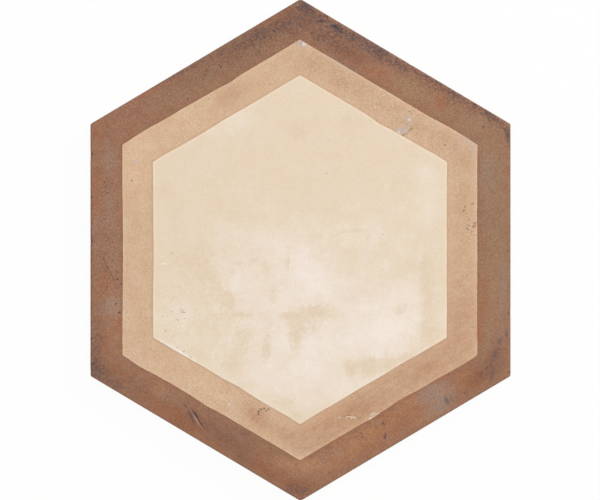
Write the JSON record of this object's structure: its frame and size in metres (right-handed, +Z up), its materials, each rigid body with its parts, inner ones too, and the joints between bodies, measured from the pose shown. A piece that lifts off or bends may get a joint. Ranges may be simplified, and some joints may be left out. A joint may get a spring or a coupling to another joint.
{
  "type": "hexagonal floor tile",
  "caption": "Matt hexagonal floor tile, pressed and fired in one piece, with concentric bands on its face, an eased arris, drafted flanks and a honeycomb-keyed back for bedding.",
  "frame": {"origin": "middle of the back, on the bed plane that its rim and ribs lie in", "axes": "+Z up, out of the wear face; +Y towards one of the two points, along the longer way across; +X towards the middle of an upright side"},
  "size_m": [0.2, 0.2386, 0.0095],
  "materials": {
    "fired_clay": "matt"
  },
  "bodies": {
    "root": {"floor_tile": "fired_clay"}
  },
  "joints": []
}
